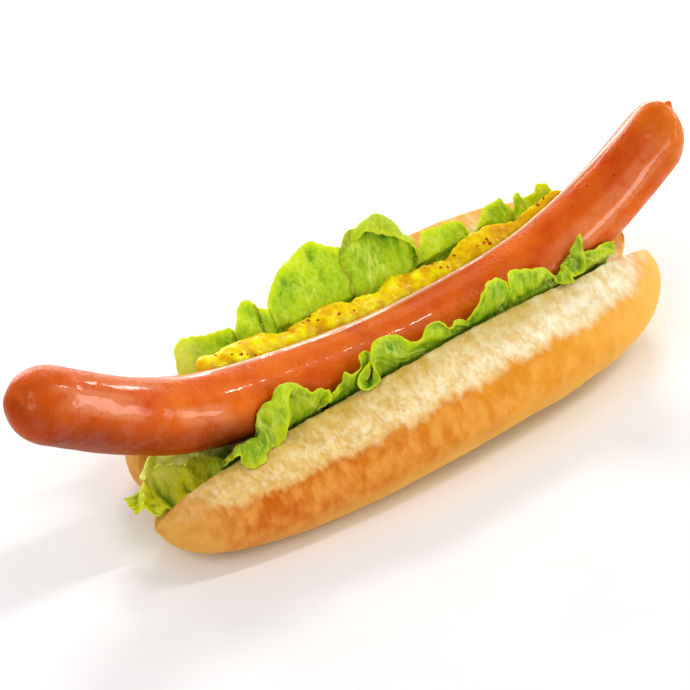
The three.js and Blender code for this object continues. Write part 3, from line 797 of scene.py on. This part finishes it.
def standing_leaf(name, lobe, frill, points, seed):
    """A leaf from its foot in the pocket, past the wall's top and its bend, to its free edge."""
    points = np.array([full_point(lobe, p) for p in points])
    last = len(points) - 1
    place = np.linspace(0, last, last * LEAF.steps + 1)
    along = open_curve(points, place)
    bend, edge = along[:, :3], along[:, 3:]
    even = between(points[0, 0], points[-1, 0], place / last)
    foot_x = between(even, bend[:, 0], 0.6)
    rows = []
    for share, depth in ((0, LEAF.depth), (0.5, 0.5)):
        x = between(foot_x, bend[:, 0], share)
        wall_out, _ = on_lobe(lobe, x, *lobe.wall)
        _, ridge_up = on_lobe(lobe, x, *lobe.ridge)
        rows.append(np.stack([x, wall_out - LEAF.inset + 0.5 * share, ridge_up - depth], -1))
    rows = np.stack(rows + [bend, edge])
    v = np.linspace(0, 1, LEAF.rows)[None, :]
    middle = open_curve(rows.reshape(4, -1), v[0] * 3).reshape(LEAF.rows, -1, 3).transpose(1, 0, 2)
    middle[..., 1] *= lobe.side
    run = np.cumsum(np.linalg.norm(np.diff(edge, axis=0, prepend=edge[:1]), axis=-1))[:, None]
    upward = np.cumsum(np.linalg.norm(np.diff(middle, axis=1, prepend=middle[:, :1]), axis=-1), axis=1)
    across = between(foot_x[:, None] - foot_x[0], run, 0.5 * v)
    lines = ribs_of(seed, across.max(), upward[:, -1].mean(), max(1, round(across.max() / RIB_SPACING)))
    ribs = rib_mask(lines, across, upward) * (1 - 0.5 * v)
    ruffle = frill * ease(v, 0.3, 1) * random_waves((run, 4 * v), 4.5, seed + 1)
    ruffle = ruffle + 0.45 * ease(v, 0.15, 0.6) * random_waves((across, 0.35 * upward), 11, seed + 4)
    blister = 2.2 * frill * random_waves((across, 0.5 * upward), 4, seed + 2) * ease(v, 0.2, 0.5)
    middle = middle + facing_of(middle) * (ruffle + blister - 0.2 * ribs)[..., None]
    middle[..., 2] += 2 * frill * v ** 4 * random_waves((run, 0 * run), 2.2, seed + 3)
    middle = clear_of_filling(middle, LEAF.clearance)
    return leaf_piece(name, middle, across, upward, ribs, ease(v, 0.86, 1) + 0 * ribs)


def outline_width(middle, half, x):
    share = np.abs((x - middle) / half)
    return END_LEAF.half_width * np.sqrt(np.maximum(0.0, 1.0 - share ** END_LEAF.square))


def end_leaf(name, seed):
    """The leaf that spills out of the pocket's left end, under the sausage."""
    length, width = END_LEAF.start - END_LEAF.end, END_LEAF.width
    u = np.linspace(0, 1, END_LEAF.steps)[:, None]
    v = np.linspace(0, 1, END_LEAF.rows)[None, :]
    u, v = np.broadcast_arrays(u, v)
    x = between(END_LEAF.start, END_LEAF.end, u)
    tip = ease(-x, 62, 73)
    y = between(-outline_width(*END_LEAF_FRONT, x), outline_width(*END_LEAF_BACK, x) + tip, v)
    outside = ease(-x, 50, 68)
    drop = END_LEAF.drop * ease(-x, END_LEAF.drop_from, END_LEAF.drop_to)
    near_edge = (2 * v - 1) ** 2
    past = y - stepped(END_CREST, x)
    inner = ease(x, -66, -62.5)
    crest = CREST_RISE * fade(np.minimum(past, 0), 1.6) - CREST_FALL * ease(past, 0, 0.9)
    crest = (crest - 3 * ease(-past, 2, 7)) * inner
    roll_at = x - END_ROLL.at - END_ROLL.slant * y
    rolled = END_ROLL.rise * fade(roll_at, END_ROLL.width) - 1.2 * ease(-roll_at, 0, 2 * END_ROLL.width)
    ruffle = 0.8 * near_edge * outside * np.sin(0.85 * x + 2.2 * v)
    frill = 0.35 * near_edge ** 2 * random_waves((u * length, v * width), 2.6, seed)
    lift = 0.32 * y * outside
    across, upward = v * width, u * length
    ribs = rib_mask(ribs_of(seed + 3, width, length, 1), across, upward) * (1 - 0.4 * u)
    blister = 0.3 * random_waves((across, upward), 4.2, seed + 4) - 0.25 * ribs
    z = END_LEAF.height - drop + crest + rolled + ruffle + frill + lift + blister
    rim = np.maximum(ease(near_edge, 0.8, 1), ease(u, 0.94, 1))
    rim = np.maximum(rim, fade(past, 0.5) * inner)
    rim = np.maximum(rim, 0.6 * fade(roll_at, END_ROLL.width))
    return leaf_piece(name, np.stack([x, y, z], -1), across, upward, ribs, rim)


lettuce, tree, shader, at = new_material("lettuce")
x, y, _ = split(at)
own = add_node(tree, "ShaderNodeUVMap", uv_map="leaf").outputs[0]
sway = add_node(tree, "ShaderNodeTexNoise", {"Vector": own, "Scale": 4.0, "Detail": 1.0}).outputs["Color"]
bent = vectors("MULTIPLY_ADD", sway, (0.16, 0.16, 0), own)
cells = add_node(tree, "ShaderNodeTexVoronoi", {"Vector": bent, "Scale": 4.5},
                 feature="DISTANCE_TO_EDGE", voronoi_dimensions="2D")
net = ramp(cells.outputs["Distance"], 0, 0.12, 0.2, 0)
veins = largest(net, attribute(tree, "rib"))
patches = mottle(at, 8, warp=4, detail=2, contrast=1.7, seed=21)
sheen = mottle(at, 1.8, (0.6, 0.6, 3), warp=2, detail=2, contrast=2.4, seed=22)
# the feet of the back leaves are bleached; the feet of the front ones get painted shade, the hollows painted
# shade in deep green and the ridges painted light
_, up, _ = split(own)
foot, shade = ramp(up, 1.3, 0.5), ramp(up, 0.9, 0.5, 0, 0.5)
back = ramp(y, -0.004, 0.004)
hollow = attribute(tree, "hollow")
leaf = washes(
    tint(patches, "#649600", "#b6d000"),
    (ramp(y, -0.005, 0.012, 0, 0.35), "#c6da08"),
    # painted light on the end leaf, which lies in the sausage's shade
    (ramp(x, -0.042, -0.054, 0, 0.75), "#e2e000"),
    (times(foot, back, 0.4), "#d2dc50"),
    # a painted pale sheen on the left part of the back left leaf
    (times(ramp(x, -0.03, -0.041, 0, 0.75), back), "#f2f490"),
    (times(shade, less(1, back)), "#3c8408"),
    (times(sheen, 0.3), "#e4ee58"),
    # painted shade in the hollows, painted light on the ridges
    (ramp(hollow, 0, 0.7, 0, 0.62), "#2c7a0c"),
    (ramp(hollow, 0, -0.7, 0, 0.3), "#d8e828"),
    # painted light along the rims and crests, as if shining through the thin leaf
    (times(attribute(tree, "rim"), 0.75), "#d8e810"),
    (times(veins, 0.85), "#ecf284"),
)
feed(shader, {
    "Base Color": leaf,
    "Roughness": 0.32,
    "Specular IOR Level": 0.22, "Subsurface Weight": 0.4,
    "Subsurface Radius": (0.7, 1.0, 0.08), "Subsurface Scale": 0.002,
    "Normal": bump(less(times(sheen, 0.5), times(veins, 0.4)), 0.3, 0.7),
})

leaves = [end_leaf("lettuce_left_end_leaf", 90)]
for order, (node, plan) in enumerate(LEAVES.items()):
    leaves.append(standing_leaf(node + "_leaf", *plan, seed=100 + 10 * order))
for piece in leaves:
    piece.data.materials.append(lettuce)
    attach(piece, "root")
    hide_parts(piece.name.removesuffix("_leaf"))

# --- The sausage ---
# A long smoked sausage in a tight natural casing, grilled and glossy with fat.  The casing is
# drawn in at the left end and twisted to a small nipple at the right one.

LEFT_END = Sizes(dome=13.6, dimple=1.7, spread=3.2, folds=5, fold_depth=0.09, fold_spread=5.5)
RIGHT_END = Sizes(dome=11.6, nipple=1.3, spread=1.2, lean=3.9, full=0.86)
DOME_SHARE = 0.12
# the low fold of the casing beside the mustard, with a painted highlight line along it
FOLD = Sizes(left=math.radians(73), right=math.radians(59), spread=math.radians(5.2), height=0.42)
FOLD_RUN = Sizes(start=-50, end=104, turn_from=-5, turn_to=38)


def fold_angle(x):
    return between(FOLD.left, FOLD.right, ease(x, FOLD_RUN.turn_from, FOLD_RUN.turn_to))


def on_fold(x, around, spread):
    within = span(x, FOLD_RUN.start, FOLD_RUN.start + 16, FOLD_RUN.end - 14, FOLD_RUN.end)
    return within * fade(around - fold_angle(x), spread)


def sausage_dent(x, around):
    slow = 0.22 * np.sin(x / 17 + 1.3) * np.cos(around - 0.6)
    fold = FOLD.height * on_fold(x, around, FOLD.spread)
    return slow + 0.16 * np.sin(x / 9.5) * np.cos(2 * around + x / 40) + fold


def sausage_points(along, around):
    body = (along - DOME_SHARE) / (1 - 2 * DOME_SHARE)
    x = between(SAUSAGE.start, SAUSAGE.end, np.clip(body, 0, 1))
    full = sausage_radius(x)
    tilt = np.minimum(1, np.minimum(along, 1 - along) / DOME_SHARE) * np.pi / 2
    radius = full * np.sin(tilt) ** np.where(body > 1, RIGHT_END.full, 1.0)
    left_reach = -LEFT_END.dome * np.cos(tilt) + LEFT_END.dimple * fade(radius, LEFT_END.spread)
    right_reach = RIGHT_END.dome * np.cos(tilt) + RIGHT_END.nipple * fade(radius, RIGHT_END.spread)
    reach = np.where(body < 0, left_reach, np.where(body > 1, right_reach, 0))
    fold = LEFT_END.fold_depth * np.cos(LEFT_END.folds * around) * fade(radius, LEFT_END.fold_spread)
    radius = np.where(body < 0, radius * (1 - fold), radius)
    lift = np.where(body > 1, RIGHT_END.lean * (right_reach / RIGHT_END.dome) ** 2, 0.0)
    out = radius + sausage_dent(x, around) * radius / full
    return round_line(x, out, around, reach, lift)


def turn_crowded_at(angle, count):
    """Angles of a full turn that lie close together round one of them."""
    turn = full_turn(count)
    return turn - 0.75 * np.sin(turn - angle)


SAUSAGE_RINGS, SAUSAGE_TURN = 560, turn_crowded_at(math.radians(66), 160)
sausage = skin("sausage_body", sausage_points, SAUSAGE_RINGS, SAUSAGE_TURN)
places = per_point(sausage, "co") / MM
x = places[:, 0]
centre, _, up = line_frame(x)
around = np.arctan2(np.sum((places - centre) * up, -1), places[:, 1])
turned = np.degrees(np.mod(around, 2 * np.pi))
beside = 1 - ease(np.abs(around - MUSTARD_ANGLE) / between(0.72, 0.46, ease(x, -15, 30)), 0.7, 1)
sauced = span(x, MUSTARD.start - 1, MUSTARD.start + 4, MUSTARD.end - 6, MUSTARD.end + 1)
# where it is wet: up to the fold, and on its front
reach = 0.1 + 0.2 * ease(x, 60, 85)
film = (1 - ease(around - fold_angle(x), reach, reach + 0.1)) * ease(around, -0.7, -0.35)
# the glazed patches near its ends, glossy and with a painted pale sheen: from and to along it, upper and
# lower edge in degrees, softness
glaze = np.zeros(len(x))
for start, end, upper, lower, soft in (
    (-77, -60, 95, 113, 4), (-100, -70, 118, 165, 6), (-64, -42, 134, 170, 6), (58, 110, 116, 170, 14),
):
    inside = span(x, start, start + soft, end - soft, end)
    glaze = np.maximum(glaze, inside * span(turned, upper, upper + soft, lower - 12, lower))
# where shade is painted on its underside, fading out towards the right end
under = ease(-np.sin(around), -0.6, 0.6) * (1 - ease(x, 30, 70))
store(
    sausage, sauce=beside * sauced, film=film * ease(x, -70, -48) * between(1, 0.7, ease(x, 55, 75)),
    fat=on_fold(x, around, FOLD.spread), front=span(turned, 100, 110, 195, 230), glaze=glaze,
    under=under * ease(x, -112, -98), skin=np.ones(len(x)))

casing, tree, shader, at = new_material("casing")
x, y, _ = split(at)
clouds = mottle(at, 14, detail=3, contrast=1.6, seed=31)
mottles = mottle(at, 4, detail=4, contrast=1.3, seed=32)
ripple = mottle(at, 1.1, (0.85, 1.1, 1.1), warp=1, detail=2, seed=33)
smears = mottle(at, 5, warp=4, detail=4, contrast=2.4, seed=34)
left = ramp(x, -0.045, -0.110)
under = attribute(tree, "under")
glaze = times(attribute(tree, "glaze"), ramp(mottles, 0, 0.35, 0.5, 1))
meat = washes(
    tint(clouds, "#d05404", "#e8780c"),
    (times(mottles, 0.35), "#ee8a34"),
    (times(left, times(clouds, 0.6)), "#a42404"),
    # painted shade on the underside, darkest along the middle beside the lettuce
    (times(under, plus(times(clouds, 0.4), 0.6)), "#8e2c08"),
    (times(under, ramp(x, -0.064, -0.046), 0.75), "#401004"),
    (ramp(x, 0.070, 0.095, 0, 0.2), "#b63a02"),
    (ramp(x, 0.098, 0.114, 0, 0.6), "#e08a20"),
    (times(speckle(at, 3.2, 0.10, 0.25), 0.6), "#6e2a12"),
    (attribute(tree, "sauce"), "#e08a04"),
    # a painted pale highlight line along the fold
    (times(attribute(tree, "fat"), 0.85), "#ffdcc4"),
    # painted pale sheen on the glazed patches
    (times(glaze, 0.28), "#f4a878"),
)
# fat and glaze shine, but not where the left end turns out of sight
wet = largest(times(ramp(smears, 0.4, 0.9, 0, 0.5), attribute(tree, "front")), times(glaze, 0.9),
              times(attribute(tree, "film"), 0.8))
dry = times(left, ramp(add_node(tree, "ShaderNodeLayerWeight").outputs["Facing"], 0.6, 0.95))
feed(shader, {
    "Base Color": meat,
    "Roughness": ramp(mottles, 0, 1, 0.26, 0.38),
    "Specular IOR Level": 0.14, "Subsurface Weight": 0.2,
    "Subsurface Radius": (1.0, 0.3, 0.08), "Subsurface Scale": 0.003,
    "Coat Weight": times(wet, less(1, dry)),
    "Coat Roughness": 0.07,
    "Normal": bump(ripple, 0.12, 0.9),
})
raise_relief(
    sausage, casing,
    ("skin", 11.0, (1.3, 1.0, 1.0), 0.0, 0.22, 1.0, 41.0),
    ("skin", 4.0, (1.3, 1.0, 1.0), 0.0, 0.05, 1.0, 42.0),
    ("skin", 2.2, (1.3, 1.0, 1.0), 0.0, 0.03, 1.0, 43.0),
)
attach(sausage, "root")
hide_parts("sausage")

# --- The mustard ---
# A bead of coarse yellow mustard, squeezed along the sausage's upper back.  It is thick and
# lumpy, and wet on its surface.

MUSTARD_FRONT = (1.2, 0.55)
MUSTARD_EDGE = 0.93
MUSTARD_SUNK = 0.7
MUSTARD_LEAN = 0.3


def mustard_points(along, around):
    x = between(MUSTARD.start - 2, MUSTARD.end, along)
    end = np.maximum(0.0, 1 - (2 * along - 1) ** 36) ** 0.5
    swell = 1 + 0.18 * np.sin(x / 4.3 + 1) + 0.08 * np.sin(x / 1.9)
    lumps = 1 + 0.13 * np.sin(x / 2.9) + 0.1 * np.sin(x / 1.7 + 2)
    full = mustard_fullness(x) * (1 - MUSTARD_LEAN * ease(x, 55, 75)) * end
    height = MUSTARD.half_height * full * swell
    width = MUSTARD.half_width * full * lumps
    front = between(*MUSTARD_FRONT, ease(x, -25, 25))
    aside = width * np.cos(around) * np.where(np.cos(around) > 0, front, 1)
    turned = MUSTARD_ANGLE + 0.06 * np.sin(x / 7 + 0.5) + aside / (sausage_radius(x) + height)
    edge = np.cos(around) ** 2
    rest = sausage_radius(x) + sausage_dent(x, turned) - MUSTARD_SUNK * edge
    far = rest + height * (1 - MUSTARD_EDGE * edge) * (1 + np.sin(around))
    return round_line(x, far, turned)


MUSTARD_RINGS, MUSTARD_TURN = 460, full_turn(84)
mustard = skin("mustard_bead", mustard_points, MUSTARD_RINGS, MUSTARD_TURN)
calm = 1 - 0.6 * np.cos(MUSTARD_TURN) ** 6
store(mustard, skin=np.append(np.tile(calm, MUSTARD_RINGS), [0, 0]))

sauce, tree, shader, at = new_material("mustard_sauce")
x, y, _ = split(at)
lumps = mottle(at, 2.6, warp=2, detail=3, contrast=1.8, seed=51)
fine = mottle(at, 0.8, detail=2, seed=52)
# raised lumps painted lighter and hollows darker, as painted light and shade, mixed with random lumps of tone
raised = ramp(attribute(tree, "raised"), -0.5, 0.3)
yellow = washes(
    tint(plus(times(raised, 0.5), times(lumps, 0.5)), "#da9200", "#fff400"),
    (times(fine, 0.25), "#fbe600"),
    (ramp(x, 0.03, 0.07, 0, 0.4), "#d09000"),
    (ramp(x, -0.034, -0.045, 0, 0.6), "#e49a08"),
)
feed(shader, {
    "Base Color": yellow,
    "Roughness": 0.32,
    "Specular IOR Level": 0.1, "Subsurface Weight": 0.5,
    "Subsurface Radius": (1.0, 0.75, 0.03), "Subsurface Scale": 0.003,
    "Coat Weight": 0.15, "Coat Roughness": 0.12,
    "Normal": bump(fine, 0.12, 0.6),
})
flat = per_point(mustard, "co") / MM
raise_relief(
    mustard, sauce,
    ("skin", 5.0, (0.9, 1.1, 1.1), 3.0, 1.1, 1.5, 61.0),
    ("skin", 2.2, (0.9, 1.1, 1.1), 1.5, 0.45, 1.5, 62.0),
)
lifted = per_point(mustard, "co") / MM - flat
store(mustard, raised=np.sum(lifted * per_point(mustard, "normal"), -1))
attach(mustard, "root")
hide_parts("mustard")

# --- The seeds ---
# Bits of brown mustard seed hull, crushed and stirred into the mustard.  They lie in clusters,
# stuck in its surface.


def scatter_tree():
    """Geometry nodes that leave small chips in clusters on a surface's upward faces."""
    tree, given, result = new_group(
        "Geometry", "Seed chips", Geometry=None, Density=100000.0, Cluster=0.006, Smallest=0.0002,
        Largest=0.0004, Seed=0, Material=None)
    at = add_node(tree, "GeometryNodeInputPosition").outputs[0]
    inputs = {"Vector": at, "Scale": reckon("DIVIDE", 1.0, given["Cluster"]), "Detail": 0.0}
    crowd = ramp(add_node(tree, "ShaderNodeTexNoise", inputs).outputs[0], 0.52, 0.68)
    normal = add_node(tree, "GeometryNodeInputNormal").outputs[0]
    crowd = times(crowd, ramp(split(normal)["Z"], 0.2, 0.5), given["Density"])
    points = add_node(tree, "GeometryNodeDistributePointsOnFaces", {
        "Mesh": given["Geometry"], "Density": crowd, "Seed": given["Seed"],
    }).outputs
    ball = add_node(tree, "GeometryNodeMeshIcoSphere", {"Radius": 1.0, "Subdivisions": 2})
    size = add_node(tree, "FunctionNodeRandomValue", {
        2: given["Smallest"], 3: given["Largest"], "Seed": given["Seed"],
    }, data_type="FLOAT")
    flat = add_node(tree, "ShaderNodeVectorMath", {0: (1, 0.75, 0.55), "Scale": size.outputs[1]},
                    operation="SCALE")
    chips = add_node(tree, "GeometryNodeInstanceOnPoints", {
        "Points": points["Points"], "Instance": ball.outputs[0], "Rotation": points["Rotation"],
        "Scale": flat.outputs[0],
    })
    finish_tree(tree, chips, given, result)
    return tree


hull, _, shader, at = new_material("seed_hull")
grain = mottle(at, 0.6, seed=55)
feed(shader, {
    "Base Color": tint(grain, "#a44400", "#dc7c0c"),
    "Roughness": 0.4,
    "Specular IOR Level": 0.1,
    "Normal": bump(grain, 0.05, 0.5),
})
chips = link("mustard_seeds", mustard.data.copy())
geometry_step(chips, scatter_tree(), Density=110000.0, Cluster=5 * MM, Smallest=0.35 * MM,
              Largest=0.7 * MM, Seed=7, Material=hull)
apply_steps(chips)
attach(chips, "root")

# --- The stage ---
# A plain pale floor.  Low wide lights behind and a narrow high one at the right draw the
# sausage's long reflections; small ones light its right end, gentle ones the front and left.

FLOOR_HALF = 3
floor_mesh = bpy.data.meshes.new("floor")
corners = [(FLOOR_HALF * x, FLOOR_HALF * y, 0) for x, y in ((-1, -1), (1, -1), (1, 1), (-1, 1))]
floor_mesh.from_pydata(corners, [], [(0, 1, 2, 3)])
floor = link("floor", floor_mesh)
board, _, shader, at = new_material("pale_floor")
grain = mottle(at, 40, seed=71)
feed(shader, {"Base Color": tint(grain, "#f4f4f4", "#f8f8f8"), "Roughness": 0.4, "Specular IOR Level": 0.25})
floor_mesh.materials.append(board)
floor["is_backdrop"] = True


def aimed(name, data, azimuth, elevation, distance, target=(0, 0, 0)):
    """A light or camera seen from its target at these angles; azimuth 0 is the back, 90 the right."""
    thing = link(name, data)
    turn, tilt = math.radians(azimuth), math.radians(elevation)
    way = (math.sin(turn) * math.cos(tilt), math.cos(turn) * math.cos(tilt), math.sin(tilt))
    thing.location = [t + w * distance for t, w in zip(target, way)]
    thing.rotation_euler = (math.pi / 2 - tilt, 0, math.pi - turn)
    return thing


# each light's azimuth, elevation and distance, its width and height, and its brightness
for name, azimuth, elevation, distance, width, height, brightness in (
    ("back", 16, 6, 0.55, 0.7, 0.1, 6.5),
    ("back_tall", 0, 14, 0.55, 0.22, 0.22, 4),
    ("back_high", 40, 38, 1.2, 0.42, 0.15, 13),
    ("right_strip", 103, 46, 1.2, 0.035, 0.6, 55),
    ("right_low", 120, 6, 1.2, 0.65, 0.25, 3.5),
    ("right_spot", 88, 8, 1.2, 0.2, 0.12, 9),
    ("right_glint", 69, 9, 1.2, 0.18, 0.12, 12),
    ("front", 172, 12, 1.2, 0.5, 0.3, 4.5),
    ("left", -100, 42, 1.1, 0.8, 0.6, 2.6),
):
    data = bpy.data.lights.new(name, "AREA")
    data.shape = "RECTANGLE"
    data.size, data.size_y = width, height
    data.energy = brightness * math.pi * width * height
    aimed(name, data, azimuth, elevation, distance)

world = bpy.data.worlds.new("studio")
world.use_nodes = True
feed(world.node_tree.nodes["Background"], {"Color": (1, 1, 1, 1), "Strength": 0.5})
scene.world = world
scene.view_settings.view_transform = "Standard"
scene.view_settings.gamma = 0.85
scene.view_settings.exposure = 0.03

# the camera stands at the front left, above the hot dog
CAMERA = Sizes(azimuth=218, elevation=40, distance=1.5, target=(0, 0, 0.032), sensor=36)
SEEN_WIDTH = 0.184
camera_data = bpy.data.cameras.new("camera")
camera_data.sensor_width = CAMERA.sensor
camera_data.lens = CAMERA.sensor * CAMERA.distance / SEEN_WIDTH
scene.camera = aimed("camera", camera_data, CAMERA.azimuth, CAMERA.elevation, CAMERA.distance, CAMERA.target)

low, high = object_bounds()
